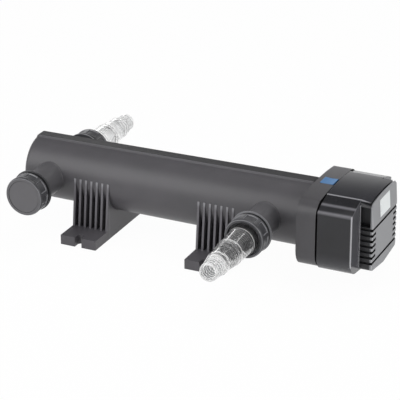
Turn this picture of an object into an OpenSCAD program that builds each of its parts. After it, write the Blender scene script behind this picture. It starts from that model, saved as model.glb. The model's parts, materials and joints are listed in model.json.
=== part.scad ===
// Ultraviolet water clarifier for ponds and aquariums.
// X runs along the lamp tube from its closed end to the electronics head, Y runs
// across it, towards the rear port, and Z is up. The feet stand on Z = 0.

/* [Lamp tube] */
// Length of the tube, from its closed end to the head collar
tube_length = 431; // [400:1:470]
// Outer radius at the closed end
tube_radius = 45; // [43:0.5:47]
// Radius that the moulding draft adds over the whole length
tube_draft = 2.5; // [1:0.5:3]
// Wall of the tube at the closed end
tube_wall = 4; // [3:0.5:5]
// Thickness of the closed end
end_wall = 5; // [4:0.5:8]
// Rounding of the closed end
end_round = 7; // [4:1:10]
// Width of the rail along the top
rail_width = 17; // [12:1:24]
// Height of the rail above the tube
rail_height = 2.2; // [1.5:0.1:3]

/* [Feet] */
// Height of the tube axis above the floor
axis_height = 76; // [72:1:84]
// Distance from the closed end to the first foot
foot_inset = 82; // [78:1:100]
// Distance from the first foot to the second, same side to same side
foot_spacing = 192; // [160:1:196]
// Width of a foot along the tube
foot_width = 55; // [48:1:58]
// Length of a foot across the tube
foot_length = 180; // [160:1:200]
// Thickness of the base plate
foot_plate = 14.2; // [10:0.2:18]
// Number of ribs on a foot
rib_count = 7; // [5:1:8]
// Thickness of one rib
rib_thickness = 3.3; // [2.6:0.1:4]
// Length of a rib across the tube where it stands on the plate
rib_base = 108; // [100:1:120]
// Height above the tube axis at which a rib runs out into the tube
rib_runout = 7; // [5:0.5:9]
// Thickness of the blunt upper end of a rib
rib_end = 0.7; // [0.5:0.1:2]
// Thickness of the web that joins the ribs under the tube
web_thickness = 5; // [4:0.5:8]
// Width of the open bolt slots
slot_width = 10.3; // [8:0.1:12]
// Depth of the open bolt slots, to the bottom of their round end
slot_depth = 13; // [11:0.5:20]

/* [Ports] */
// Distance from the closed end to the axis of the two left ports
port_inset = 41.5; // [40:0.5:46]
// Distance between the left and the right ports
port_spacing = 332.7; // [326:0.1:340]
// Outer radius of a port stub
stub_radius = 22; // [21:0.5:23]
// Bore radius of a port stub
stub_bore = 17.5; // [16:0.5:18.5]
// Distance from the tube axis to the mouth of a port that carries a hose tail
stub_reach = 103.5; // [100:0.5:106]
// Distance from the tube axis to the mouth of the capped port
capped_reach = 112.5; // [110:0.5:114]
// Distance by which the rear port stands out less than the front ones
rear_setback = 33; // [0:1:34]
// Thickness of the flat sealing rings
seal_thickness = 2; // [1.5:0.5:3]

/* [Union nuts and blind cap] */
// Distance from the tube axis to the back of a nut
nut_back = 92; // [90:0.5:94]
// Length of a nut and of the cap
nut_length = 27; // [26:0.5:30]
// Radius of the plain rim at the back
nut_rim_radius = 29.7; // [29:0.1:31]
// Width of the plain rim
nut_rim_width = 6; // [4:0.5:8]
// Radius of the gripped part
nut_grip_radius = 28.3; // [27.6:0.1:28.8]
// Radius of the front edge
nut_nose_radius = 27; // [26:0.1:27.4]
// Number of grip panels round a nut
grip_panels = 8; // [6:1:10]
// Depth of a grip panel
panel_depth = 1.5; // [1:0.1:2]
// Depth of the recess in front of a nut's lip
nut_recess_depth = 4.5; // [3:0.5:5]
// Radius of that recess
nut_recess_radius = 23.5; // [22.5:0.1:24]
// Thickness of a nut's lip
nut_lip = 3.4; // [3:0.1:4]

/* [Hose tails] */
// Diameter of the first step, next to the nut
step_1 = 39.6; // [38:0.2:40]
// Diameter of the second step
step_2 = 34.6; // [33:0.2:36]
// Diameter of the third step
step_3 = 29.2; // [27:0.2:30]
// Diameter of the tip
tip_diameter = 20.4; // [19:0.2:24]
// Length of the plain cylinder at the start of each step
land = 6; // [5:0.5:8]
// Amount by which the radius shrinks along each step
step_taper = 1; // [0.6:0.1:1.4]
// Distance from the nut to the first step
step_gap = 9.8; // [8:0.2:12]
// Length of one step
step_length = 35.6; // [30:0.2:38]
// Length of the last step, down to the tip
tip_length = 27.6; // [24:0.2:32]
// Wall of a hose tail
tail_wall = 2.6; // [2.2:0.1:3]

/* [Head collar] */
// Length of the collar along the tube
collar_length = 27.5; // [26:0.5:34]
// Width of the collar and of the head across the tube
head_width = 152; // [148:1:164]
// Height of the collar above the tube axis
collar_top = 50.6; // [50:0.2:54]
// Depth of the collar and of the head below the tube axis
head_bottom = 54.4; // [53:0.2:60]
// Drop of the collar's arched top from its middle to its round corners
collar_drop = 3; // [2:0.5:4]
// Radius of the collar's upper corners
upper_corner = 21; // [18:1:24]
// Radius of the collar's lower corners
lower_corner = 27; // [22:1:30]
// Drop of the belly's edges from its middle, under collar and head alike
belly_drop = 4; // [2:0.5:6]
// Depth to which the tube enters the collar
tube_seat = 6; // [4:0.5:6.5]
// Radius of the collar's mouth
mouth_radius = 43.5; // [43:0.1:44]
// Width of the dark joint between collar and head
seam_gap = 2.5; // [1.5:0.5:3]

/* [Release button] */
// Length of the button along the tube
button_length = 19.6; // [16:0.2:20]
// Width of the button
button_width = 21; // [16:1:24]
// Travel of the button
button_travel = 2.2; // [1.8:0.1:2.4]
// Height by which the button stands above the collar
button_rise = 1.2; // [0.6:0.1:1.6]
// Thickness of the spring strip under the button
leaf_thickness = 0.4; // [0.3:0.1:0.5]

/* [Head] */
// Height of the head above the tube axis
head_top = 53.3; // [52:0.1:58]
// Drop of the top cover from its middle to its creases
head_drop = 2.6; // [2:0.1:5]
// Radius of the head's lower corners
head_corner = 22; // [18:1:26]
// Length of the head shell
shell_length = 48.5; // [46:0.5:60]
// Wall of the head shell
shell_wall = 3; // [2.6:0.2:4]
// Half width of the arched top cover, out to its crease
crease = 42.7; // [40:0.1:48]
// Distance from the side of the head in to its shoulder
shoulder_in = 13.6; // [10:0.2:18]
// Depth of the shoulder below the crease
shoulder_drop = 5.5; // [4:0.1:7]
// Depth of the brow, at the top of the side, below the crease
brow_drop = 11.6; // [9:0.1:14]
// Thickness of the top cover
cover_thickness = 2.6; // [2:0.2:3.2]
// Height by which the top cover stands above the shoulders
cover_rise = 0.7; // [0.4:0.1:1]
// Drop of the cover's sloping end, from the end of the shell to the end plate
nose_drop = 2.4; // [1:0.1:4]
// Length of the vent block with the end plate, behind the shell
end_length = 19; // [17:0.5:24]
// Half width of the vent block and the end plate
end_half = 47.7; // [45:0.1:50]
// Depth of the slanting facet along the upper edge of the vent block
eave_facet = 6.4; // [4:0.1:8]
// Distance that the upper part of the end plate leans back
face_lean = 2.2; // [0:0.1:3]
// Thickness of the end plate
face_thickness = 3.4; // [2.8:0.2:4]
// Gap between the top cover and the end plate
face_gap = 2.1; // [0.8:0.1:2.4]
// Number of cooling grooves in each side of the vent block
groove_count = 7; // [5:1:7]
// Pitch of the grooves
groove_pitch = 8.05; // [7:0.05:8.4]
// Height of one groove
groove_height = 3.4; // [2.6:0.1:4]
// Depth of the grooves
groove_depth = 3.2; // [2:0.1:4]
// Height of the first groove above the tube axis
groove_top = 11.6; // [8:0.1:12]
// Half width of the plain panel between the short grooves
panel_half = 34; // [30:1:38]
// Height of the lines across the end plate
line_height = 2.2; // [1.6:0.1:3]
// Depth of those lines
line_depth = 1.6; // [1:0.1:2]
// Depth of the recess under the eaves of the top cover
eave_depth = 9; // [6:0.5:12]
// Width of the blank label plate
label_width = 38; // [30:1:40]
// Height of the blank label plate
label_height = 24.4; // [20:0.1:26]
// Thickness of the label plate
label_thickness = 0.5; // [0.3:0.1:0.6]

/* [Lamp] */
// Outer radius of the quartz sleeve
sleeve_radius = 23; // [22:0.5:24]
// Wall of the quartz sleeve
sleeve_wall = 1.8; // [1.5:0.1:1.8]
// Distance from the closed end to the tip of the sleeve
sleeve_tip = 48; // [46:1:54]
// Radius of each leg of the lamp
lamp_leg_radius = 8.75; // [8:0.05:9]
// Distance between the axes of the two legs
lamp_pitch = 21; // [20:0.5:22]
// Length of the lamp's base
lamp_base_length = 26; // [24:1:27]
// Width of the lamp's base and of the socket's flange
lamp_base_width = 24; // [20:1:26]
// Width of the lamp socket
socket_width = 20; // [16:1:22]
// Height of the lamp socket
socket_height = 30; // [26:1:34]
// Length of the socket behind the carrier's plate
socket_rear = 12; // [8:1:14]
// Thickness of the socket's flange
socket_flange = 4; // [3:0.5:5]
// Reach of the flange above and below the socket
socket_ear = 10; // [8:1:12]
// Length of the nut that clamps the sleeve
clamp_length = 20; // [18:1:24]
// Width of a grip rib on that nut
clamp_rib_width = 3; // [2:0.5:4]
// Height of a grip rib on that nut
clamp_rib_height = 1.4; // [1:0.1:1.6]
// Length of the ring that centres the free end of the sleeve
support_length = 8; // [6:1:12]
// Wall of that ring
support_wall = 3.2; // [2.6:0.1:4]
// Width of the ring's arms
support_arm = 3; // [2:0.5:5]

/* [Electronics] */
// Width of the ballast board
board_width = 120; // [100:1:122]
// Height of the ballast board
board_height = 78; // [70:1:80]
// Thickness of the board
board_thickness = 1.6; // [1:0.2:2.4]
// Distance from the board's edges to the middle of its screws
board_screw_inset = 6; // [5:0.5:8]
// Length of the choke across the head
choke_length = 30; // [24:1:34]
// Height of the choke
choke_height = 36; // [30:1:40]
// Distance by which the choke stands out from the board
choke_depth = 18; // [14:1:19]
// Width of the core round the choke's window
choke_rim = 6; // [4:0.5:8]
// Distance from the choke to the board's edge
choke_inset = 8; // [6:1:12]
// Radius of a capacitor
capacitor_radius = 8; // [6:0.5:9]
// Height of a capacitor
capacitor_height = 16; // [12:1:18]
// Distance between the axes of the capacitors
capacitor_pitch = 22; // [19:1:24]
// Distance from those axes to the board's edge
capacitor_inset = 20; // [16:1:24]
// Distance by which the terminal block stands out from the board
terminal_depth = 12; // [10:1:14]
// Number of its openings
terminal_count = 4; // [2:1:4]
// Distance from one opening to the next
terminal_pitch = 8; // [7:0.5:9]
// Width and height of an opening
terminal_mouth = 6; // [4:0.5:6.5]
// Wall round the openings
terminal_wall = 3; // [2:0.5:4]
// Bore radius of the cable gland
gland_bore = 4; // [3:0.5:5]
// Radius of the gland's threaded stem
gland_stem = 8; // [7:0.5:9]

/* [Screws] */
// Radius of the stem of a carrier screw
carrier_screw_stem = 1.7; // [1.5:0.1:2]
// Radius of the head of a carrier screw
carrier_screw_head = 3.5; // [3:0.1:3.6]
// Length of the stem of a carrier screw
carrier_screw_length = 14; // [10:1:16]
// Height of the head of a carrier screw
carrier_head_height = 1.8; // [1.4:0.1:2]
// Radius of the stem of a board screw
board_screw_stem = 1.2; // [1:0.1:1.4]
// Radius of the head of a board screw
board_screw_head = 2.6; // [2.2:0.1:3]
// Length of the stem of a board screw
board_screw_length = 10; // [8:1:12]
// Height of the head of a board screw
board_head_height = 1.95; // [1.6:0.05:2.4]

/* [Clearances] */
// Gap between pieces of one assembly that are welded, glued or pressed together
seat_gap = 0.15; // [0.1:0.05:0.2]
// Gap between pieces that move past each other
moving_gap = 0.3; // [0.25:0.05:0.4]
// Gap round the stem of a screw that passes through a plate or a board
screw_gap = 0.4; // [0.3:0.1:0.5]
// Gap between the board and what is soldered to it
solder_gap = 0.1; // [0.05:0.05:0.2]

/* [Hidden] */
$fn = 64;

// Stations along X
tube_end = tube_length + tube_seat;
collar_end = tube_length + collar_length;
head_start = collar_end + seam_gap;
shell_end = head_start + shell_length;
face_end = shell_end + end_length;
end_side = head_bottom - 6;
eave_low = groove_top + groove_height / 2 + 1.5;
crease_z = head_top - head_drop - cover_rise;
eave_high = crease_z - eave_facet - 1;
label_low = groove_top + 8;
face_start = face_end - face_thickness;
middle = (face_end + label_thickness) / 2;
right_port = port_inset + port_spacing;
second_foot = foot_inset + foot_spacing;

// Tube
chamber_radius = tube_radius - tube_wall;
function outer_radius(x) = tube_radius + tube_draft * (x - end_round) / (tube_length - end_round);

// Feet
rib_pitch = (foot_width - rib_thickness) / (rib_count - 1);
foot_gap_top = axis_height + rib_runout;

// Nuts, from the tube axis outwards
nut_front = nut_back + nut_length;
lip_back = nut_front - nut_recess_depth - nut_lip;
seal_front = stub_reach + seal_thickness;
flange_back = seal_front + seat_gap;
flange_front = lip_back - seat_gap;
neck_radius = step_1 / 2 - 0.6;
step_start = nut_front + step_gap;
tip_start = step_start + 2 * step_length;
tail_tip = tip_start + tip_length;

// Collar and head sections
section_half = head_width / 2;
collar_flat = section_half - upper_corner;
function arch_radius(half, drop) = (half * half + drop * drop) / (2 * drop);
function arch_z(y, top, half, drop) = let (r = arch_radius(half, drop)) top - r + sqrt(r * r - y * y);
cover_under = cover_thickness + seat_gap;

// Lamp carrier
spigot_radius = mouth_radius - moving_gap;
spigot_start = tube_end + 4;
plate_start = head_start + 1;
plate_thickness = 3.5;
plate_end = plate_start + plate_thickness;
o_ring_wire = 1.65;
o_ring_station = spigot_start + 4.5;
lug_reach = 3.6;
lug_length = 4;
lug_station = spigot_start + 8.5;
lug_width = 13;
lug_angles = [0, 120, 240];
lock_angle = 20;
hub_radius = sleeve_radius + 6;
hub_start = spigot_start - 14;
sleeve_end = spigot_start + 11;
clamp_wall = 4;
clamp_radius = hub_radius + clamp_wall;
clamp_start = hub_start - clamp_length / 2;
seal_wire = 2.4;
lamp_bore = sleeve_radius - sleeve_wall + 0.1;
lamp_base_end = plate_start - 3.5;
lamp_base_start = lamp_base_end - lamp_base_length;
lamp_tip = sleeve_tip + 14;

// Electronics
board_post = 17;
board_start = shell_end - shell_wall - board_post - board_thickness;
board_y = board_width / 2 - board_screw_inset;
board_z = board_height / 2 - board_screw_inset;
boss_radius = 4;
boss_y = section_half - shell_wall - boss_radius - 2.5;
boss_z = 26;
gland_station = head_start + 24;

// Button
button_start = collar_end - button_length - 1;
pocket_floor = 45.6;
button_top = collar_top + button_rise;
button_bottom = pocket_floor + button_travel + leaf_thickness + 0.4;

// ---------- helpers ----------

// Moves the whole model so that the middle of its outer box is over the origin
module placed() {
    translate([-middle, rear_setback / 2, 0]) children();
}

// Turns local Z along the tube axis, with local zero at station x
module on_axis(x) {
    translate([x, 0, axis_height]) rotate([0, 90, 0]) children();
}

// Draws a section in Y and Z and carries it along the tube from x for a length
module section_from(x, length) {
    translate([x, 0, axis_height]) rotate([90, 0, 90]) linear_extrude(length) children();
}

// Turns local Z out of the tube along Y, towards side 1 (rear) or -1 (front)
module on_port(x, side) {
    translate([x, 0, axis_height]) rotate([side * -90, 0, 0]) children();
}

function arc(centre, radius, from, to, steps) =
    [for (i = [0:steps]) let (a = from + (to - from) * i / steps)
        centre + radius * [cos(a), sin(a)]];

// Moves each point of a half outline inwards; its first and last point stay on the middle plane
function inset(points, d) = [for (i = [0:len(points) - 1])
    let (last = len(points) - 1, t = points[min(i + 1, last)] - points[max(i - 1, 0)])
        [i == 0 || i == last ? 0 : points[i][0] + d * t[1] / norm(t), points[i][1] - d * t[0] / norm(t)]];

// Half outlines run from the middle of the top, round the +Y side, to the middle of the belly
function arch_half(top, half, drop, steps = 6) =
    [for (i = [0:steps]) let (y = half * i / steps) [y, arch_z(y, top, half, drop)]];

function belly_half(corner) = let (half = section_half - corner) concat(
    arc([half, corner + belly_drop - head_bottom], corner, 0, -84, 6),
    [for (i = [4:-1:0]) let (y = half * i / 5)
        [y, -arch_z(y, head_bottom, half, belly_drop)]]);

function collar_half() = concat(
    arch_half(collar_top, collar_flat, collar_drop),
    arc([collar_flat, collar_top - collar_drop - upper_corner], upper_corner, 75, 0, 5),
    belly_half(lower_corner));

shoulder = [section_half - shoulder_in, crease_z - shoulder_drop];
brow = [section_half - 0.4, crease_z - brow_drop];

// The shell's outline: the middle is lowered to make a bed for the top cover
function shell_half() = concat(
    arch_half(head_top - cover_under, crease + seat_gap, head_drop),
    [[crease + seat_gap + 0.01, crease_z], shoulder, brow, [section_half, brow[1] - 3]],
    belly_half(head_corner));

// Side and foot of the vent block and the end plate: a facet, an upright and a soft lower corner
function end_side_half() = concat(
    [[end_half, crease_z - eave_facet]],
    arc([end_half - 5, 5 - end_side], 5, 0, -75, 3),
    [[0, 0.8 - head_bottom]]);

// The vent block is lowered in the middle like the shell, to carry the end of the top cover
function block_half() = concat(
    arch_half(head_top - cover_under, crease + seat_gap, head_drop),
    [[crease + seat_gap + 0.01, crease_z]],
    end_side_half());

function face_half() = concat(
    arch_half(head_top - nose_drop, crease, head_drop),
    end_side_half());

// Whole outline from its half
module outline(half) {
    polygon(concat(half, [for (i = [len(half) - 2:-1:1]) [-half[i][0], half[i][1]]]));
}

// ---------- tube and feet ----------

module tube_outside(grow = 0) {
    on_axis(0) rotate_extrude() polygon(concat(
        [[0, 0]],
        arc([tube_radius - end_round + grow, end_round], end_round, -90, 0, 5),
        [[outer_radius(tube_end) + grow, tube_end], [0, tube_end]]));
}

module stub(x, side, reach) {
    on_port(x, side) cylinder(r = stub_radius, h = reach);
}

module rail() {
    start = end_round / 2;
    translate([0, rail_width / 2, axis_height]) rotate([90, 0, 0]) linear_extrude(rail_width)
        polygon([[start + rail_height, outer_radius(start) - 6],
            [start, outer_radius(start) - 2],
            [start + rail_height, outer_radius(start) + rail_height],
            [tube_length - seat_gap, outer_radius(tube_length) + rail_height],
            [tube_length - seat_gap, outer_radius(tube_length) - 2]]);
}

module housing() {
    color("#4b4b4e") difference() {
        union() {
            tube_outside();
            rail();
            stub(port_inset, -1, capped_reach);
            stub(port_inset, 1, stub_reach - rear_setback);
            stub(right_port, -1, stub_reach);
        }
        on_axis(end_wall) cylinder(r = chamber_radius, h = tube_end);
        on_port(port_inset, -1) cylinder(r = stub_bore, h = capped_reach + 1);
        on_port(port_inset, 1) cylinder(r = stub_bore, h = stub_reach + 1);
        on_port(right_port, -1) cylinder(r = stub_bore, h = stub_reach + 1);
    }
}

module bolt_slot(x, side) {
    reach = foot_length / 2 - slot_depth + slot_width / 2;
    translate([x, side * reach, -1]) cylinder(d = slot_width, h = foot_plate + 2);
    translate([x - slot_width / 2, side > 0 ? reach : -reach - slot_depth, -1])
        cube([slot_width, slot_depth, foot_plate + 2]);
}

module foot(x) {
    top = foot_gap_top - axis_height;
    top_half = sqrt(pow(outer_radius(x + foot_width), 2) - top * top) + rib_end;
    color("#4b4b4e") difference() {
        union() {
            translate([x, -foot_length / 2, 0]) cube([foot_width, foot_length, foot_plate]);
            for (i = [0:rib_count - 1])
                section_from(x + i * rib_pitch, rib_thickness)
                    polygon([[-rib_base / 2, foot_plate - 1 - axis_height], [-top_half, top],
                        [top_half, top], [rib_base / 2, foot_plate - 1 - axis_height]]);
            translate([x, -web_thickness / 2, foot_plate - 1])
                cube([foot_width, web_thickness, axis_height - foot_plate]);
        }
        tube_outside(seat_gap);
        bolt_slot(x + foot_width / 2, 1);
        bolt_slot(x + foot_width / 2, -1);
    }
}

module left_foot() {
    foot(foot_inset);
}

module right_foot() {
    foot(second_foot);
}

// ---------- collar, support and button ----------

module collar_pocket() {
    translate([button_start, -button_width / 2, axis_height + pocket_floor])
        cube([button_length + 2, button_width, 20]);
}

module head_collar() {
    color("#4b4b4e") difference() {
        section_from(tube_length, collar_length) outline(collar_half());
        tube_outside(seat_gap);
        on_axis(tube_length - 1) cylinder(r = chamber_radius, h = collar_length + 2);
        on_axis(tube_end - 0.5) cylinder(r = mouth_radius, h = collar_length);
        // bayonet: a ring groove for each lug's turn, and the way in at its unlocked end
        for (a = lug_angles) {
            on_axis(lug_station - moving_gap) rotate([0, 0, a - lug_width])
                lug_sweep(lug_length + 2 * moving_gap, 2 * lug_width + lock_angle, lug_reach);
            on_axis(lug_station) rotate([0, 0, a - lug_width + lock_angle + 0.5])
                lug_sweep(collar_length, 2 * lug_width - 1, lug_reach - 0.1);
        }
        collar_pocket();
    }
}

// Sector of a ring that holds a lug, from angle zero through the given angle
module lug_sweep(length, angle, reach) {
    rotate_extrude(angle = angle) translate([mouth_radius - 1, 0]) square([reach + 1, length]);
}

module sleeve_support() {
    station = sleeve_tip + 3;
    color("#3a3a3c") difference() {
        union() {
            on_axis(station) cylinder(r = sleeve_radius + moving_gap + support_wall, h = support_length);
            for (a = [0, 120, 240]) on_axis(station) rotate([0, 0, a])
                translate([2 * moving_gap - chamber_radius, -support_arm / 2, 1])
                    cube([chamber_radius - sleeve_radius - 2.5, support_arm, support_length - 2]);
        }
        on_axis(station - 1) cylinder(r = sleeve_radius + moving_gap, h = support_length + 2);
    }
}

module release_button() {
    side = moving_gap;
    color("#3f78b8") difference() {
        translate([button_start + side, side - button_width / 2, axis_height + button_bottom])
            cube([button_length - side, button_width - 2 * side, button_top - button_bottom]);
        // finger hollow across the top
        translate([button_start + button_length / 2, 0, axis_height + button_top + 58.8])
            rotate([90, 0, 0]) cylinder(r = 60, h = 2 * button_width, center = true, $fn = 240);
    }
}

module button_spring() {
    span = button_length - 5;
    low = axis_height + pocket_floor + 0.1;
    rise = button_bottom - pocket_floor - leaf_thickness - 0.2;
    color("#b9bcc0") translate([button_start + 3, 4, low]) rotate([90, 0, 0]) linear_extrude(8)
        polygon([[0, 0], [0, leaf_thickness], [span / 2 - 3, rise + leaf_thickness],
            [span / 2 + 3, rise + leaf_thickness], [span, leaf_thickness], [span, 0],
            [span / 2 + 3, rise], [span / 2 - 3, rise]]);
}

// ---------- ports ----------

module flat_seal(x, side, reach) {
    color("#202022") on_port(x, side) translate([0, 0, reach]) difference() {
        cylinder(r = stub_radius - 0.4, h = seal_thickness);
        translate([0, 0, -1]) cylinder(r = stub_bore + 0.2, h = seal_thickness + 2);
    }
}

// Outside of a nut or cap, with local zero at its back
module grip_body() {
    length = nut_length - nut_rim_width - 4.5;
    difference() {
        rotate_extrude() polygon([[0, 0], [nut_rim_radius - 0.6, 0], [nut_rim_radius, 0.6],
            [nut_rim_radius, nut_rim_width], [nut_grip_radius, nut_rim_width],
            [nut_grip_radius, nut_length - 2], [nut_nose_radius, nut_length], [0, nut_length]]);
        for (i = [0:grip_panels - 1]) rotate([0, 0, (i + 0.5) * 360 / grip_panels])
            translate([nut_grip_radius - panel_depth, -7.4, nut_rim_width + 1.5])
                cube([panel_depth + 2, 14.8, length]);
    }
}

module union_nut(x, side) {
    color("#37373a") on_port(x, side) translate([0, 0, nut_back]) difference() {
        grip_body();
        translate([0, 0, -1]) cylinder(r = stub_radius + moving_gap, h = lip_back - nut_back + 1);
        cylinder(r = neck_radius + moving_gap, h = nut_length + 1);
        translate([0, 0, nut_length - nut_recess_depth])
            cylinder(r = nut_recess_radius, h = nut_recess_depth + 1);
    }
}

// One step of a hose tail as radius and distance: a plain land, then a slight taper
function tail_step(start, radius, length) =
    [[radius - 0.5, start - 0.8], [radius, start], [radius, start + land],
     [radius - step_taper, start + length - 3]];

// Profile of a hose tail as radius and distance from the tube axis
function tail_outside() = concat(
    [[stub_radius - 0.2, flange_back], [stub_radius - 0.2, flange_front],
     [neck_radius, flange_front]],
    tail_step(step_start, step_1 / 2, step_length),
    tail_step(step_start + step_length, step_2 / 2, step_length),
    [[step_3 / 2 - 0.5, tip_start - 0.8], [step_3 / 2, tip_start], [step_3 / 2, tip_start + land],
     [tip_diameter / 2 + 0.8, tail_tip - 8], [tip_diameter / 2, tail_tip]]);

function tail_inside() = let (w = tail_wall) [
    [tip_diameter / 2 - w + 0.6, tail_tip], [tip_diameter / 2 - w + 0.6, tail_tip - 10],
    [step_3 / 2 - w, tip_start + 3], [step_3 / 2 - w, tip_start - 3],
    [step_2 / 2 - w, tip_start - 8], [step_2 / 2 - w, step_start + step_length - 3],
    [step_1 / 2 - w, step_start + step_length - 8], [step_1 / 2 - w, flange_back]];

module hose_tail(x, side) {
    color("#dfe6e8", 0.5) on_port(x, side)
        rotate_extrude() polygon(concat(tail_outside(), tail_inside()));
}

module blind_cap() {
    color("#37373a") on_port(port_inset, -1) translate([0, 0, nut_back]) difference() {
        grip_body();
        translate([0, 0, -1]) cylinder(r = stub_radius + moving_gap,
            h = capped_reach + seal_thickness + seat_gap - nut_back + 1);
    }
}

module cap_seal() {
    flat_seal(port_inset, -1, capped_reach);
}

// Moves a piece of a front port to the shorter rear port
module set_back() {
    translate([0, -rear_setback, 0]) children();
}

module inlet_seal() {
    set_back() flat_seal(port_inset, 1, stub_reach);
}

module outlet_seal() {
    flat_seal(right_port, -1, stub_reach);
}

module inlet_hose_tail() {
    set_back() hose_tail(port_inset, 1);
}

module outlet_hose_tail() {
    hose_tail(right_port, -1);
}

module inlet_nut() {
    set_back() union_nut(port_inset, 1);
}

module outlet_nut() {
    union_nut(right_port, -1);
}

// ---------- head ----------

module head_shell() {
    color("#3c3c40") difference() {
        union() {
            difference() {
                section_from(head_start, shell_length) outline(shell_half());
                section_from(head_start - 1, shell_length - shell_wall + 1)
                    outline(inset(shell_half(), shell_wall));
            }
            for (y = [-boss_y, boss_y], z = [-boss_z, boss_z])
                translate([0, y, z]) on_axis(plate_end + seat_gap)
                    cylinder(r = boss_radius, h = shell_end - shell_wall / 2 - plate_end - seat_gap);
            for (y = [-board_y, board_y], z = [-board_z, board_z])
                translate([0, y, z]) on_axis(board_start + board_thickness + seat_gap)
                    cylinder(r = 3, h = board_post + shell_wall / 2);
        }
        for (y = [-boss_y, boss_y], z = [-boss_z, boss_z])
            translate([0, y, z]) on_axis(plate_end - 1)
                cylinder(r = carrier_screw_stem + 0.2, h = carrier_screw_length + 2);
        for (y = [-board_y, board_y], z = [-board_z, board_z])
            translate([0, y, z]) on_axis(board_start)
                cylinder(r = board_screw_stem + 0.1, h = board_screw_length + 2);
        on_port(gland_station, 1) cylinder(r = gland_stem + seat_gap, h = head_width);
    }
}

// Space above the sloping end of the head's top, at a given depth under the cover's surface
module above_nose(depth) {
    r = arch_radius(crease, head_drop);
    wide = 2 * crease;
    outer = arch_half(0, wide, r - sqrt(r * r - wide * wide), 12);
    slope = atan2(nose_drop, end_length - face_thickness);
    translate([shell_end, 0, axis_height + head_top - depth]) rotate([0, slope, 0])
        translate([-6, 0, 0]) rotate([90, 0, 90]) linear_extrude(2 * end_length)
            polygon(concat([[-wide, 20], [wide, 20]],
                [for (i = [len(outer) - 1:-1:0]) outer[i]],
                [for (i = [1:len(outer) - 1]) [-outer[i][0], outer[i][1]]]));
}

module top_cover() {
    length = face_start - face_gap - head_start;
    outer = arch_half(head_top, crease, head_drop);
    inner = arch_half(head_top - cover_thickness, crease, head_drop);
    color("#5c5b60") difference() {
        section_from(head_start, length)
            polygon(concat(outer, [for (i = [len(inner) - 1:-1:0]) inner[i]],
                [for (i = [1:len(inner) - 1]) [-inner[i][0], inner[i][1]]],
                [for (i = [len(outer) - 1:-1:1]) [-outer[i][0], outer[i][1]]]));
        above_nose(0);
        // small notch in the rear edge
        translate([shell_end - 0.5, crease - 6.7, axis_height + head_top - 10]) cube([3.6, 9, 12]);
    }
}

// Cooling grooves that wrap from both sides of the head round the edges of its end
module side_grooves(start, length) {
    for (i = [0:groove_count - 1], side = [-1, 1])
        translate([start, side * end_half - groove_depth,
            axis_height + groove_top - i * groove_pitch - groove_height / 2])
            cube([length, 2 * groove_depth, groove_height]);
}

module vent_block() {
    start = shell_end + seat_gap;
    length = face_start - seat_gap - start;
    inner_half = end_half - eave_depth - 3;
    color("#3f3f43") difference() {
        section_from(start, length) outline(block_half());
        above_nose(cover_under);
        // hollow
        translate([start - 1, -inner_half, axis_height - head_bottom + 10])
            cube([length + 2, 2 * inner_half, head_top + head_bottom - 20]);
        // deep recess under the eaves
        for (side = [-1, 1])
            translate([start + 1.5, side * end_half - eave_depth, axis_height + eave_low])
                cube([length, 2 * eave_depth, eave_high - eave_low]);
        side_grooves(start + 1.5, length);
    }
}

// Axes on the end plate where its upper part starts to lean back
module leaning() {
    lean = atan2(face_lean, head_top - nose_drop - label_low);
    translate([face_end, 0, axis_height + label_low]) rotate([0, -lean, 0]) children();
}

module end_plate() {
    color("#8f9092") difference() {
        section_from(face_start, face_thickness) outline(face_half());
        side_grooves(face_start - 1, face_thickness + 2);
        leaning() translate([0, -section_half, -4]) cube([4, 2 * section_half, head_top]);
        // lines on the face: the first and the last run right across
        for (i = [0:groove_count - 1]) {
            full = i == 0 || i == groove_count - 1;
            translate([face_end - line_depth, 0, axis_height + groove_top - i * groove_pitch])
                for (side = [-1, 1])
                    translate([0, side > 0 ? (full ? -1 : panel_half) : -end_half - 1, -line_height / 2])
                        cube([2 * line_depth, end_half + (full ? 2 : 1 - panel_half), line_height]);
        }
    }
}

module label_plate() {
    color("#d9e1e2")
        leaning() translate([0, -label_width / 2, 0]) cube([label_thickness, label_width, label_height]);
}

module lamp_carrier() {
    color("#2c2c2e") difference() {
        union() {
            section_from(plate_start, plate_thickness) outline(inset(shell_half(), shell_wall + seat_gap));
            on_axis(spigot_start) cylinder(r = spigot_radius, h = plate_start - spigot_start + 1);
            on_axis(hub_start) cylinder(r = hub_radius, h = spigot_start - hub_start + 1);
            for (a = lug_angles) on_axis(lug_station) rotate([0, 0, a - lug_width + 1])
                rotate_extrude(angle = 2 * lug_width - 2) translate([spigot_radius - 3, 0])
                    square([lug_reach + 3 - moving_gap, lug_length]);
        }
        on_axis(hub_start - 1) cylinder(r = sleeve_radius + moving_gap, h = sleeve_end - hub_start + 1.5);
        on_axis(hub_start) cylinder(r = lamp_bore, h = 60);
        // hollow between the hub and the spigot's wall
        on_axis(lug_station + 1) difference() {
            cylinder(r = spigot_radius - 4, h = 60);
            translate([0, 0, -1]) cylinder(r = hub_radius - 2, h = 62);
        }
        on_axis(o_ring_station - o_ring_wire - 0.3) difference() {
            cylinder(r = spigot_radius + 1, h = 2 * o_ring_wire + 0.6);
            translate([0, 0, -1])
                cylinder(r = mouth_radius - 2 * o_ring_wire - 0.25, h = 2 * o_ring_wire + 2.6);
        }
        for (y = [-boss_y, boss_y], z = [-boss_z, boss_z]) translate([0, y, z]) {
            on_axis(plate_start - 1) cylinder(r = carrier_screw_stem + screw_gap, h = plate_thickness + 2);
            on_axis(plate_start - 1) cylinder(r = carrier_screw_head + moving_gap, h = 3);
        }
    }
}

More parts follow.
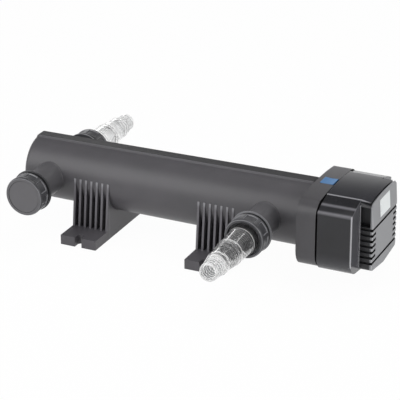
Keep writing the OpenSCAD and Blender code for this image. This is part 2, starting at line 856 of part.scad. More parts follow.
module carrier_screws() {
    color("#a9abad") for (y = [-boss_y, boss_y], z = [-boss_z, boss_z]) translate([0, y, z]) {
        on_axis(plate_start + 0.2) cylinder(r = carrier_screw_head, h = carrier_head_height);
        on_axis(plate_start + 1.5) cylinder(r = carrier_screw_stem, h = carrier_screw_length);
    }
}

module ring(x, radius, wire) {
    on_axis(x) rotate_extrude() translate([radius, 0]) circle(r = wire);
}

module head_o_ring() {
    color("#1c1c1e") ring(o_ring_station, mouth_radius - o_ring_wire - 0.12, o_ring_wire);
}

module quartz_sleeve() {
    r = sleeve_radius;
    w = sleeve_wall;
    length = sleeve_end - sleeve_tip;
    color("#e8f0f4", 0.35) on_axis(sleeve_tip) rotate_extrude() polygon(concat(
        [[0, 0]], arc([r - 12, 12], 12, -90, 0, 6), [[r, length], [r - w, length]],
        arc([r - 12, 12], 12 - w, 0, -90, 6), [[0, w]]));
}

module sleeve_o_ring() {
    color("#1c1c1e") ring(hub_start - seal_wire - 0.1, sleeve_radius + 0.15 + seal_wire, seal_wire);
}

module sleeve_nut() {
    color("#3f3f42") on_axis(clamp_start) difference() {
        union() {
            cylinder(r = clamp_radius, h = clamp_length);
            for (a = [0:30:330]) rotate([0, 0, a]) translate([clamp_radius - 1, -clamp_rib_width / 2, 0])
                cube([clamp_rib_height + 1, clamp_rib_width, clamp_length]);
        }
        translate([0, 0, -1]) cylinder(r = sleeve_radius + moving_gap, h = 60);
        translate([0, 0, hub_start - 2 * seal_wire - 0.2 - clamp_start])
            cylinder(r = hub_radius + seat_gap, h = 60);
    }
}

module lamp_base() {
    color("#ececea") intersection() {
        on_axis(lamp_base_start) cylinder(r = lamp_bore - 0.5, h = lamp_base_length);
        translate([lamp_base_start, -lamp_base_width / 2, axis_height - lamp_bore])
            cube([lamp_base_length, lamp_base_width, 2 * lamp_bore]);
    }
}

module lamp_tubes() {
    leg = lamp_base_start - lamp_tip - seat_gap;
    color("#dfe8f5", 0.6) union() {
        for (side = [-1, 1]) translate([0, 0, side * lamp_pitch / 2]) {
            on_axis(lamp_tip + 5) cylinder(r = lamp_leg_radius, h = leg - 5);
            on_axis(lamp_tip) cylinder(r1 = lamp_leg_radius - 4, r2 = lamp_leg_radius, h = 5);
        }
        translate([lamp_tip + 10, 0, axis_height - lamp_pitch / 2])
            cylinder(r = 4, h = lamp_pitch);
    }
}

module lamp_socket() {
    color("#f0efe9") {
        translate([lamp_base_end + seat_gap, -socket_width / 2, axis_height - socket_height / 2])
            cube([plate_end + socket_rear - lamp_base_end, socket_width, socket_height]);
        translate([plate_end + seat_gap, -lamp_base_width / 2, axis_height - socket_height / 2 - socket_ear])
            cube([socket_flange, lamp_base_width, socket_height + 2 * socket_ear]);
    }
}

module ballast_board() {
    color("#2e6b45") difference() {
        translate([board_start, -board_width / 2, axis_height - board_height / 2])
            cube([board_thickness, board_width, board_height]);
        for (y = [-board_y, board_y], z = [-board_z, board_z])
            translate([0, y, z]) on_axis(board_start - 1)
                cylinder(r = board_screw_stem + screw_gap, h = board_thickness + 2);
    }
}

module board_screws() {
    color("#a9abad") for (y = [-board_y, board_y], z = [-board_z, board_z])
        translate([0, y, z]) {
            on_axis(board_start - board_head_height - 0.05)
                cylinder(r = board_screw_head, h = board_head_height);
            on_axis(board_start - 0.5) cylinder(r = board_screw_stem, h = board_screw_length);
        }
}

module ballast_choke() {
    color("#b8923a") translate([board_start - solder_gap - choke_depth,
        board_width / 2 - choke_inset - choke_length, axis_height - choke_height / 2]) difference() {
            cube([choke_depth, choke_length, choke_height]);
            translate([-1, choke_rim, choke_rim])
                cube([4, choke_length - 2 * choke_rim, choke_height - 2 * choke_rim]);
        }
}

module ballast_capacitors() {
    color("#3a4a78") for (i = [-1:1])
        translate([0, capacitor_inset - board_width / 2, i * capacitor_pitch])
            on_axis(board_start - solder_gap - capacitor_height)
                cylinder(r = capacitor_radius, h = capacitor_height);
}

module terminal_block() {
    length = (terminal_count - 1) * terminal_pitch + terminal_mouth + 2 * terminal_wall;
    color("#dcdcd6") translate([board_start - solder_gap - terminal_depth, -length / 2,
        axis_height - board_height / 2 + terminal_wall]) difference() {
            cube([terminal_depth, length, terminal_mouth + 2 * terminal_wall]);
            for (i = [0:terminal_count - 1])
                translate([-1, terminal_wall + i * terminal_pitch, terminal_wall])
                    cube([terminal_depth / 2, terminal_mouth, terminal_mouth]);
        }
}

module cable_gland() {
    color("#2a2a2c") on_port(gland_station, 1) difference() {
        union() {
            translate([0, 0, section_half - shell_wall - 6]) cylinder(r = gland_stem, h = shell_wall + 7);
            translate([0, 0, section_half + seat_gap]) cylinder(r = gland_stem + 4, h = 5, $fn = 6);
            translate([0, 0, section_half + 4]) cylinder(r = gland_stem - 1.5, h = 8);
        }
        cylinder(r = gland_bore, h = head_width);
    }
}

module gland_locknut() {
    color("#2a2a2c") on_port(gland_station, 1)
        translate([0, 0, section_half - shell_wall - seat_gap - 4]) difference() {
            cylinder(r = gland_stem + 3.5, h = 4, $fn = 6);
            translate([0, 0, -1]) cylinder(r = gland_stem + seat_gap, h = 6);
        }
}

module gland_nut() {
    color("#2a2a2c") on_port(gland_station, 1) translate([0, 0, section_half + 5 + 2 * seat_gap])
        difference() {
            rotate_extrude() polygon([[0, 0], [gland_stem + 2.5, 0], [gland_stem + 2.5, 7],
                [gland_bore + 3, 12.5], [0, 12.5]]);
            translate([0, 0, -1]) cylinder(r = gland_stem - 1.5 + seat_gap, h = 8.2);
            cylinder(r = gland_bore, h = 20);
        }
}

placed() {
    housing();
    left_foot();
    right_foot();
    head_collar();
    sleeve_support();
    release_button();
    button_spring();
    cap_seal();
    blind_cap();
    inlet_seal();
    inlet_hose_tail();
    inlet_nut();
    outlet_seal();
    outlet_hose_tail();
    outlet_nut();
    head_shell();
    top_cover();
    vent_block();
    end_plate();
    label_plate();
    lamp_carrier();
    carrier_screws();
    head_o_ring();
    quartz_sleeve();
    sleeve_o_ring();
    sleeve_nut();
    lamp_socket();
    lamp_base();
    lamp_tubes();
    ballast_board();
    board_screws();
    ballast_choke();
    ballast_capacitors();
    terminal_block();
    cable_gland();
    gland_locknut();
    gland_nut();
}
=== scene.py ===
import json
import math

import bmesh
import bpy
import numpy as np
from mathutils import Matrix, Vector

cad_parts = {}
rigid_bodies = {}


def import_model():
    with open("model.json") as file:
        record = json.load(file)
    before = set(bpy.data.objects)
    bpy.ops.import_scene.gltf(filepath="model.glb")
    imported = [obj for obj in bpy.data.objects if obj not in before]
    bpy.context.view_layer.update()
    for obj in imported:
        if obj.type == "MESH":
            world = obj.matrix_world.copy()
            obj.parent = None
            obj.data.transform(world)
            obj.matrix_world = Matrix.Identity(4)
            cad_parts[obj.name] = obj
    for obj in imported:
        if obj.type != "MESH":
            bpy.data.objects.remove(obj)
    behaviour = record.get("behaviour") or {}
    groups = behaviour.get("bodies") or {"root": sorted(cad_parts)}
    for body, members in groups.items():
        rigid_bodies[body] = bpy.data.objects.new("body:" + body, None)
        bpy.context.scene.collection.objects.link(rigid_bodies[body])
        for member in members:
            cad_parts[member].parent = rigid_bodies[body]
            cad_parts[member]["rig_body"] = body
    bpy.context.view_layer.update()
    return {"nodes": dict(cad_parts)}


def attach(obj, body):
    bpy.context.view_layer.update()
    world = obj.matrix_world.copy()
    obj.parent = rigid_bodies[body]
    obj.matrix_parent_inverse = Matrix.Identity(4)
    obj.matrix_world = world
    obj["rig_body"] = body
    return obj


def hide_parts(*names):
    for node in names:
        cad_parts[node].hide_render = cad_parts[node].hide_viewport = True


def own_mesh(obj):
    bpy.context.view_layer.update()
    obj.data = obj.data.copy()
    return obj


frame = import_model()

MM = 0.001
TAU = 2 * math.pi
# Shapes are given in millimetres on the lamp tube's own axes: x from the closed end, y across, z up.
TUBE_ORIGIN = np.array((-264.5, 16.5, 76.0))


def placed(name, data):
    """A new object in the scene, at the origin."""
    thing = bpy.data.objects.new(name, data)
    bpy.context.scene.collection.objects.link(thing)
    return thing


# ---------------------------------------------------------------- camera

def place_camera():
    """Long lens from the front right and above, on the whole object."""
    data = bpy.data.cameras.new("camera")
    data.sensor_width = 36.0
    data.lens = 169.169
    data.clip_end = 60.0
    cam = placed("camera", data)
    right = Vector((0.90705, 0.42102, -0.00176))
    up = Vector((-0.16767, 0.36505, 0.91577))
    back = right.cross(up)
    turn = Matrix((right, up, back)).transposed().to_4x4()
    cam.matrix_world = Matrix.Translation((1.00532, -2.16316, 1.11792)) @ turn
    bpy.context.scene.camera = cam


place_camera()


# ---------------------------------------------------------------- materials

def linear(hex_colour):
    """sRGB hex to linear RGBA."""
    c = np.array([int(hex_colour[i:i + 2], 16) for i in (1, 3, 5)]) / 255.0
    c = np.where(c <= 0.04045, c / 12.92, ((c + 0.055) / 1.055) ** 2.4)
    return (float(c[0]), float(c[1]), float(c[2]), 1.0)


def add(tree, kind, links=(), **settings):
    """Add one node, set its properties and sockets by name, and link its inputs.

    links holds (input name or number, source node, output name or number).
    """
    n = tree.nodes.new(kind)
    for key, value in settings.items():
        if hasattr(n, key):
            setattr(n, key, value)
        else:
            n.inputs[key.replace("_", " ")].default_value = value
    for socket, source, output in links:
        tree.links.new(source.outputs[output], n.inputs[socket])
    return n


def emptied(owner):
    """The node tree of a new material or world, emptied."""
    owner.use_nodes = True
    owner.node_tree.nodes.clear()
    return owner.node_tree


def shader(name):
    """A new material with a Principled shader; gives the material, its tree and the shader."""
    m = bpy.data.materials.new(name)
    tree = emptied(m)
    bsdf = add(tree, "ShaderNodeBsdfPrincipled")
    add(tree, "ShaderNodeOutputMaterial", [("Surface", bsdf, "BSDF")])
    return m, tree, bsdf


def moulded(name, dark, light, roughness, grain_mm=0.5, grain_depth=0.15, drift_mm=60.0,
            roughness_spread=0.06, ior=1.46):
    """Injection-moulded plastic: a slow drift between two near shades, a spark-eroded grain as
    bump, and a roughness that varies a little with the drift.

    The real grain is only about 0.2 mm wide, and it is drawn coarser so that it shows.
    """
    m, tree, bsdf = shader(name)
    where = add(tree, "ShaderNodeTexCoord")
    drift = add(tree, "ShaderNodeTexNoise", [("Vector", where, "Object")],
                Scale=1000.0 / drift_mm, Detail=3.0, Roughness=0.55)
    shades = add(tree, "ShaderNodeValToRGB", [("Fac", drift, "Fac")])
    for element, position, shade in zip(shades.color_ramp.elements, (0.32, 0.68), (dark, light)):
        element.position = position
        element.color = linear(shade)
    tree.links.new(shades.outputs["Color"], bsdf.inputs["Base Color"])
    rough = add(tree, "ShaderNodeMapRange", [("Value", drift, "Fac")], From_Min=0.3, From_Max=0.7,
                To_Min=roughness - roughness_spread / 2, To_Max=roughness + roughness_spread / 2)
    tree.links.new(rough.outputs["Result"], bsdf.inputs["Roughness"])
    grain = add(tree, "ShaderNodeTexNoise", [("Vector", where, "Object")],
                Scale=1000.0 / grain_mm, Detail=2.0, Roughness=0.5)
    bump = add(tree, "ShaderNodeBump", [("Height", grain, "Fac")],
               Strength=grain_depth, Distance=0.0002)
    tree.links.new(bump.outputs["Normal"], bsdf.inputs["Normal"])
    bsdf.inputs["IOR"].default_value = ior
    return m


def painted_highlights(material, light, lines):
    """Painted highlights, sheen and reflections: lighter bands along moulded edges and faces.

    Each line is (weights, place, width) in millimetres on the tube's axes, with y taken as |y|.
    The shade rises smoothly to the lighter one as the weighted distance to the place,
    |weights * (here - place)|, falls from the width to zero.
    """
    tree = material.node_tree
    bsdf = next(n for n in tree.nodes if n.type == "BSDF_PRINCIPLED")
    base = bsdf.inputs["Base Color"].links[0].from_socket
    where = add(tree, "ShaderNodeTexCoord")
    own = add(tree, "ShaderNodeVectorMath", [(0, where, "Object")], operation="SUBTRACT")
    own.inputs[1].default_value = tuple(TUBE_ORIGIN * MM)
    parts = add(tree, "ShaderNodeSeparateXYZ", [("Vector", own, 0)])
    aside = add(tree, "ShaderNodeMath", [(0, parts, "Y")], operation="ABSOLUTE")
    here = add(tree, "ShaderNodeCombineXYZ", [("X", parts, "X"), ("Y", aside, 0), ("Z", parts, "Z")])
    band = None
    for weights, place, width in lines:
        scaled = add(tree, "ShaderNodeVectorMath", [(0, here, 0)], operation="MULTIPLY")
        scaled.inputs[1].default_value = weights
        gap = add(tree, "ShaderNodeVectorMath", [(0, scaled, 0)], operation="DISTANCE")
        gap.inputs[1].default_value = tuple(np.array(place) * weights * MM)
        near = add(tree, "ShaderNodeMapRange", [("Value", gap, "Value")], interpolation_type="SMOOTHSTEP",
                   From_Min=0.0, From_Max=width * MM, To_Min=1.0, To_Max=0.0)
        if band:
            near = add(tree, "ShaderNodeMath", [(0, band, 0), (1, near, 0)], operation="MAXIMUM")
        band = near
    # A colour mix has its two colours at inputs 6 and 7 and its result at output 2.
    mix = add(tree, "ShaderNodeMix", [(0, band, 0)], data_type="RGBA")
    tree.links.new(base, mix.inputs[6])
    mix.inputs[7].default_value = linear(light)
    tree.links.new(mix.outputs[2], bsdf.inputs["Base Color"])
    return material


# Lines that run along X, upright lines and lines along X that may climb a little, then planes across X
# and planes beside the tube.
ALONG, UPRIGHT, CLIMBING = (0.0, 1.0, 1.0), (1.0, 1.0, 0.0), (0.0, 1.0, 0.25)
ACROSS, BESIDE = (1.0, 0.0, 0.0), (0.0, 1.0, 0.0)
# ABS from a textured mould: an even dark grey with a soft sheen, and a painted highlight along the rail's
# edges.
housing_abs = painted_highlights(moulded("moulded ABS, housing grain", "#4e4d50", "#555357", 0.42, 1.1, 0.3),
                         "#626165", [(CLIMBING, (0.0, 8.9, 48.4), 1.3)])
# The port stubs: the housing's ABS, a little lighter as painted light.
lit_stub_abs = moulded("moulded ABS, port stubs in painted light", "#565558", "#5c5b5e", 0.42, 1.1, 0.3)
# The rail's top and the roots of the stubs: the same ABS with a finer grain, much darker as painted shade.
rail_and_root_shade_abs = moulded("moulded ABS, smooth rail in painted shade", "#28272a", "#2d2c2f", 0.55, 1.1, 0.1)
collar_abs = moulded("moulded ABS, collar grain", "#49484b", "#4f4e51", 0.38, 1.1, 0.28)
# The feet: painted highlights on a band at the ribs' fronts and along the ribs' tips at the tube.
foot_abs = moulded("moulded ABS, foot grain", "#4f4d51", "#565458", 0.42, 1.1, 0.3)
painted_highlights(foot_abs, "#68676b", [(BESIDE, (0.0, 46.2, 0.0), 1.6)])
painted_highlights(foot_abs, "#8a8a8e", [(ALONG, (0.0, 46.5, 6.5), 9.0)])
# The fronts of the ribs: a lighter copy of the feet's ABS as painted light, with painted highlights at the
# tips.
lit_rib_abs = painted_highlights(moulded("moulded ABS, rib fronts in painted light", "#67656a", "#6e6c71", 0.38, 1.1, 0.2),
                     "#8e8e92", [(ALONG, (0.0, 46.5, 6.5), 9.0)])
# Nylon nuts and cap: a little glossier than the housing, with painted highlights on the edges, painted shade
# in the groove and the recess, and painted light on the cap's end disc.
nut_nylon = moulded("moulded nylon nut", "#454548", "#4b4b4e", 0.3, 0.9, 0.15)
highlight_nylon = moulded("moulded nylon nut, painted edge highlights", "#7c7c80", "#848488", 0.3, 0.9, 0.05)
shaded_groove_nylon = moulded("moulded nylon nut, painted shade in groove", "#0b0b0d", "#101012", 0.4, 0.9, 0.05)
shaded_recess_nylon = moulded("moulded nylon nut, painted shade in recess", "#2c2c2f", "#313134", 0.4, 0.9, 0.05)
lit_disc_nylon = moulded("moulded nylon cap, end disc in painted light", "#5f5e61", "#656467", 0.36, 0.9, 0.2)
# Polished-mould ABS of the head: near black and satin, with painted highlights along its edges and the
# cover's crease, and a painted reflection that makes the shell lighter towards its lower side.
shell_abs = moulded("polished ABS, head shell", "#212124", "#26262a", 0.2, 1.4, 0.08)
painted_highlights(shell_abs, "#5a5a5e", [(ACROSS, (509.5, 0.0, 0.0), 1.0), (ALONG, (0.0, 76.0, -52.0), 34.0)])
painted_highlights(shell_abs, "#747378", [(ALONG, (0.0, 62.4, 44.5), 4.2), (ALONG, (0.0, 75.4, 38.2), 4.2)])
painted_highlights(shell_abs, "#c2c2c6", [(UPRIGHT, (509.2, 75.8, 0.0), 2.2)])
cover_abs = painted_highlights(moulded("polished ABS, top cover", "#2b2b2f", "#303035", 0.2, 1.4, 0.08), "#a2a1a6",
                       [(ALONG, (0.0, 42.5, 50.5), 2.7)])
# The vent block: a painted highlight on the upright edge beside its recess.
block_abs = painted_highlights(moulded("moulded ABS, vent block", "#2b2b2e", "#303033", 0.3, 1.2, 0.1), "#b4b4b8",
                       [(UPRIGHT, (510.2, 47.7, 0.0), 2.0)])
# The same ABS where hardly any light gets: black in gaps, dark in the recesses beside the vent block.
shade_abs = moulded("moulded ABS in a gap", "#070708", "#0a0a0b", 0.6, 1.2, 0.05)
recess_abs = moulded("moulded ABS in a recess", "#2a2a2d", "#303033", 0.35, 1.2, 0.05)
# Grained ABS end plate: a pale grey that is partly its own and partly painted light where it faces the
# light, with painted highlights on its upright edges.
end_abs = painted_highlights(moulded("moulded ABS, end plate", "#85868a", "#8c8d90", 0.36, 1.0, 0.15), "#bcbdc0",
                     [(UPRIGHT, (528.3, 47.5, 0.0), 2.4)])
# Blue acetal button, moulded and lightly polished by fingers.
button_acetal = moulded("moulded blue acetal", "#4678ab", "#4e81b4", 0.36, 0.6, 0.08)
# Black nylon of gland, lamp carrier and sleeve support: satin, without a bright edge.
black_nylon = moulded("moulded black nylon", "#222224", "#29292b", 0.42, 0.6, 0.12)
# PBT of lamp socket, lamp base and terminals: a warm white with a soft sheen.
white_plastic = moulded("moulded PBT, white", "#dedcd3", "#e6e4dc", 0.4, 0.6, 0.08)
# Polyester label: smooth, nearly white and a little glossy.
blank_foil = moulded("blank polyester label", "#eef3f3", "#f3f7f7", 0.28, 0.8, 0.03)
# EPDM rubber: near black and dull, with a slight bloom in patches.
seal_epdm = moulded("EPDM rubber seal", "#1b1b1d", "#242427", 0.72, 0.4, 0.2, 12.0, 0.15, 1.52)


def plated_steel(name, colour, roughness):
    """Zinc-plated or spring steel: full metal, faint drawn streaks in the roughness."""
    streak_mm, stretch = 0.463, 12.0
    m, tree, bsdf = shader(name)
    where = add(tree, "ShaderNodeTexCoord")
    drawn = add(tree, "ShaderNodeMapping", [("Vector", where, "Object")])
    drawn.inputs["Scale"].default_value = (1.0, stretch, stretch)
    streak = add(tree, "ShaderNodeTexNoise", [("Vector", drawn, "Vector")],
                 Scale=1000.0 / (streak_mm * stretch), Detail=2.0)
    rough = add(tree, "ShaderNodeMapRange", [("Value", streak, "Fac")],
                To_Min=roughness - 0.08, To_Max=roughness + 0.08)
    tree.links.new(rough.outputs["Result"], bsdf.inputs["Roughness"])
    bsdf.inputs["Base Color"].default_value = linear(colour)
    bsdf.inputs["Metallic"].default_value = 1.0
    return m


screw_steel = plated_steel("zinc-plated steel", "#b4b5b8", 0.32)
spring_steel = plated_steel("spring steel strip", "#9c9da0", 0.28)


def clear(name, tint, roughness, ior, weight=1.0, wave_depth=0.0):
    """Clear moulded plastic or quartz: transmission, with faint waves where the glass was drawn."""
    wave_mm = 11.11
    m, tree, bsdf = shader(name)
    if wave_depth:
        where = add(tree, "ShaderNodeTexCoord")
        wave = add(tree, "ShaderNodeTexNoise", [("Vector", where, "Object")],
                   Scale=1000.0 / wave_mm, Detail=2.0)
        bump = add(tree, "ShaderNodeBump", [("Height", wave, "Fac")], Strength=wave_depth, Distance=0.001)
        tree.links.new(bump.outputs["Normal"], bsdf.inputs["Normal"])
    bsdf.inputs["Base Color"].default_value = linear(tint)
    bsdf.inputs["Roughness"].default_value = roughness
    bsdf.inputs["IOR"].default_value = ior
    bsdf.inputs["Transmission Weight"].default_value = weight
    return m


# Polycarbonate hose tail: water clear, with hazy rims as painted highlights, and painted shade on the crests
# of its inner ridges.
clear_pc = clear("clear polycarbonate", "#ffffff", 0.03, 1.5, 0.98)
hazy_highlight_pc = clear("clear polycarbonate, hazy rim as painted highlight", "#ffffff", 0.4, 1.5, 0.4)
shaded_crest_pc = clear("clear polycarbonate, painted shade on ridge crests", "#5a5e61", 0.1, 1.5, 0.96)
# Fused quartz sleeve: smoother and clearer than the tails; the lamp's own tube is slightly frosted.
quartz = clear("fused quartz", "#f6fafc", 0.02, 1.46)
lamp_glass = clear("lamp quartz, lightly frosted", "#eef3f9", 0.18, 1.46, 0.6, 0.1)
# Ballast: a green laminate board, an amber varnished winding and cans in a glossy blue sleeve.
board_laminate = moulded("glass-epoxy board", "#22613b", "#2b6c44", 0.35, 0.4, 0.1, 8.0)
copper_winding = moulded("varnished copper winding", "#7f4a1c", "#99602a", 0.3, 0.5, 0.5, 4.0, 0.1)
can_sleeve = moulded("shrink-sleeved aluminium can", "#27345e", "#2f3e6c", 0.3, 0.5, 0.05)

finish = {
    "housing": housing_abs, "left_foot": foot_abs, "right_foot": foot_abs, "head_collar": collar_abs,
    "sleeve_support": black_nylon, "release_button": button_acetal, "button_spring": spring_steel,
    "cap_seal": seal_epdm, "blind_cap": nut_nylon,
    "inlet_seal": seal_epdm, "inlet_hose_tail": clear_pc, "inlet_nut": nut_nylon,
    "outlet_seal": seal_epdm, "outlet_hose_tail": clear_pc, "outlet_nut": nut_nylon,
    "head_shell": shell_abs, "top_cover": cover_abs, "vent_block": block_abs, "end_plate": end_abs,
    "label_plate": blank_foil,
    "lamp_carrier": black_nylon, "carrier_screws": screw_steel, "head_o_ring": seal_epdm,
    "quartz_sleeve": quartz, "sleeve_o_ring": seal_epdm, "sleeve_nut": nut_nylon,
    "lamp_socket": white_plastic, "lamp_base": white_plastic, "lamp_tubes": lamp_glass,
    "ballast_board": board_laminate, "board_screws": screw_steel, "ballast_choke": copper_winding,
    "ballast_capacitors": can_sleeve, "terminal_block": white_plastic,
    "cable_gland": black_nylon, "gland_locknut": black_nylon, "gland_nut": black_nylon,
}
for node, material in finish.items():
    mesh = frame["nodes"][node].data
    mesh.materials.clear()
    mesh.materials.append(material)


# ---------------------------------------------------------------- surfaces

# The tube's length and the radius of its closed end, the ports' places along it, and how much less
# the rear port stands out than the front ones.
TUBE_LENGTH, CLOSED_END_ROUND = 431.0, 7.0
LEFT_PORT, RIGHT_PORT = 41.5, 374.2
REAR_SETBACK = 33.0


def tube_radius(x):
    """Outer radius of the tube: 45 mm at the closed end, growing evenly by 2.5 mm of draft."""
    return 45.0 + 2.5 * (x - CLOSED_END_ROUND) / (TUBE_LENGTH - CLOSED_END_ROUND)


def ramp(t):
    """Smooth step: 3t^2 - 2t^3, held at 0 before t = 0 and at 1 after t = 1."""
    t = np.clip(t, 0.0, 1.0)
    return t * t * (3.0 - 2.0 * t)


def window(t, start, end, soft):
    """1 between start and end, 0 outside, with a smooth step of the given width at both."""
    return ramp((t - start) / soft + 0.5) * (1.0 - ramp((t - end) / soft + 0.5))


def rounded(profile, radii, steps=4, closed=True):
    """Replace each corner of a profile by a quadratic curve from a point before it to a point after it.

    The curve is (1-t)^2 A + 2t(1-t) P + t^2 B, where A and B lie the radius away from the
    corner P along its two sides, or less than half a side away where a side is short. An open
    profile keeps its two ends.
    """
    corner = np.array(profile, float)
    before, after = np.roll(corner, 1, 0) - corner, np.roll(corner, -1, 0) - corner
    length_before, length_after = np.linalg.norm(before, axis=1), np.linalg.norm(after, axis=1)
    reach = np.minimum(radii, 0.48 * np.minimum(length_before, length_after))
    if not closed:
        reach[[0, -1]] = 0.0
    start = corner + before * (reach / np.maximum(length_before, 1e-9))[:, None]
    end = corner + after * (reach / np.maximum(length_after, 1e-9))[:, None]
    t = np.linspace(0.0, 1.0, steps + 1)[None, :, None]
    curve = (1 - t) ** 2 * start[:, None] + 2 * t * (1 - t) * corner[:, None] + t ** 2 * end[:, None]
    return apart(curve.reshape(-1, 2), 1e-5)


def apart(points, distance):
    """The points of a profile, without those that lie within a distance of the one before."""
    return points[np.append(True, np.linalg.norm(np.diff(points, axis=0), axis=1) > distance)]


def merged(mesh, distance, flat_angle=None):
    """Merge a mesh's vertices within a distance, and join faces that meet at less than an angle."""
    bm = bmesh.new()
    bm.from_mesh(mesh)
    bmesh.ops.remove_doubles(bm, verts=bm.verts, dist=distance)
    if flat_angle:
        bmesh.ops.dissolve_limit(bm, angle_limit=flat_angle, verts=bm.verts, edges=bm.edges)
    bm.to_mesh(mesh)
    bm.free()


def surface(name, points, materials, body, ring_wall=False, kinds=0):
    """A mesh from a grid of points (rows, columns, xyz) in millimetres on the tube's axes.

    Each quad joins two neighbours in a row with the two below them. The columns close into
    rings, and the rows close too for a ring-shaped wall. Coincident points, as at a pole, are
    merged, and a closed shape that would enclose negative volume is turned right side out.
    Kinds tells which of the materials each quad takes, as one number for each point of the grid.
    """
    rows, cols = points.shape[:2]
    co = ((points.reshape(-1, 3) + TUBE_ORIGIN) * MM).astype(np.float32)
    i = np.arange(rows if ring_wall else rows - 1)[:, None]
    j = np.arange(cols)[None, :]
    i2, j2 = (i + 1) % rows, (j + 1) % cols
    quads = np.stack([i * cols + j, i * cols + j2, i2 * cols + j2, i2 * cols + j], -1).reshape(-1, 4)
    a, b, c, d = np.moveaxis(co[quads].astype(float), 1, 0)
    if (a * (np.cross(b, c) + np.cross(c, d))).sum() < 0:
        quads = quads[:, ::-1]
    mesh = bpy.data.meshes.new(name)
    mesh.vertices.add(len(co))
    mesh.vertices.foreach_set("co", co.ravel())
    mesh.loops.add(quads.size)
    mesh.loops.foreach_set("vertex_index", quads.astype(np.int32).ravel())
    mesh.polygons.add(len(quads))
    mesh.polygons.foreach_set("loop_start", np.arange(0, quads.size, 4, dtype=np.int32))
    for material in materials:
        mesh.materials.append(material)
    index = np.broadcast_to(kinds, (rows, cols))[:len(i)]
    mesh.polygons.foreach_set("material_index", index.astype(np.int32).ravel())
    mesh.polygons.foreach_set("use_smooth", np.ones(len(quads), bool))
    mesh.update(calc_edges=True)
    merged(mesh, 2e-7)
    mesh.validate()
    piece = placed(name, mesh)
    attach(piece, body)
    return piece


def turned(profile, count):
    """Points of a body of revolution: each (radius, height) of the profile swept round in count steps.

    Gives radius * cos, radius * sin and the height as three arrays, one row per profile point.
    """
    angle = np.arange(count) * TAU / count
    r, h = np.hsplit(profile, 2)
    return r * np.cos(angle), r * np.sin(angle), np.broadcast_to(h, (len(profile), count))


def at_port(x, side, setback, across, up, out):
    """Port coordinates to tube axes: out runs along Y, away from the tube on the given side, and the
    setback is taken from it."""
    return np.stack([x + across, side * (out - setback), up], -1)


# ---------------------------------------------------------------- housing

def bored(piece, x0, side):
    """Cut a port's round hole, along the port's axis, through the wall of the finished tube."""
    radius, start, end = 19.6, 25.0, 52.0
    wall = np.array([(0.0, start), (radius, start), (radius, end), (0.0, end)])
    across, up, out = turned(wall, 96)
    drill = surface("drill", at_port(x0, side, 0.0, across, up, out), [housing_abs], "base")
    cut = piece.modifiers.new("port hole", "BOOLEAN")
    cut.operation = "DIFFERENCE"
    cut.solver = "EXACT"
    cut.object = drill
    seen = piece.evaluated_get(bpy.context.evaluated_depsgraph_get())
    piece.data = bpy.data.meshes.new_from_object(seen)
    piece.modifiers.clear()
    bpy.data.objects.remove(drill, do_unlink=True)


def tube_skin():
    """The tube with its rounded closed end, its bore and the flat rail along its top.

    A closed profile of radius over x is swept round the axis. Near the top the radius rises to
    that of a flat rail, (R + h) / cos(angle), through a smooth step at the rail's two edges.
    """
    rail_height, rail_half, spigot_end = 2.2, 8.5, TUBE_LENGTH + 6.0
    closed_end = rounded([(0, 0), (45.0, 0), (tube_radius(spigot_end), spigot_end), (0, spigot_end)],
                         [0, CLOSED_END_ROUND, 0, 0], 10, closed=False)[:-2]
    stations = np.concatenate([np.linspace(12, TUBE_LENGTH - 0.1, 90), [TUBE_LENGTH + 0.2, spigot_end]])
    outside = np.concatenate([closed_end, np.stack([tube_radius(stations), stations], 1)])
    bore = np.array([(41.0, spigot_end), (41.0, 8.0), (38.0, 5.2), (0.0, 5.0)])
    r, x = np.hsplit(np.concatenate([outside, bore]), 2)
    skin = (np.arange(len(r)) < len(outside))[:, None]
    edge = math.asin(rail_half / 46.0)
    # Steps round the tube, from the top and close together at the rail's two edges.
    near = np.linspace(-0.022, 0.022, 15)
    top = np.concatenate([-edge + near, np.linspace(-edge + 0.03, edge - 0.03, 15), edge + near])
    rest = np.linspace(edge + 0.03, TAU - edge - 0.03, 150)
    angle = np.concatenate([top, rest])[None, :]
    rail_run = ramp((x - 1.0) / 3.0) * (1.0 - ramp((x - TUBE_LENGTH + 0.2) / 0.4)) * skin
    on_rail = window(np.where(angle > math.pi, angle - TAU, angle), -edge, edge, 0.034) * rail_run
    flat = (r + rail_height) / np.cos(np.where(np.abs(np.sin(angle)) < 0.5, angle, 0.0))
    radius = r + (flat - r) * on_rail
    points = np.stack([np.broadcast_to(x, radius.shape), radius * np.sin(angle), radius * np.cos(angle)], -1)
    # Faces on the rail's top take the rail's material, which is painted shade.
    piece = surface("tube_skin", points, [housing_abs, rail_and_root_shade_abs], "base", kinds=on_rail > 0.98)
    for x0, side in ((LEFT_PORT, -1), (LEFT_PORT, 1), (RIGHT_PORT, -1)):
        bored(piece, x0, side)
    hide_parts("housing")


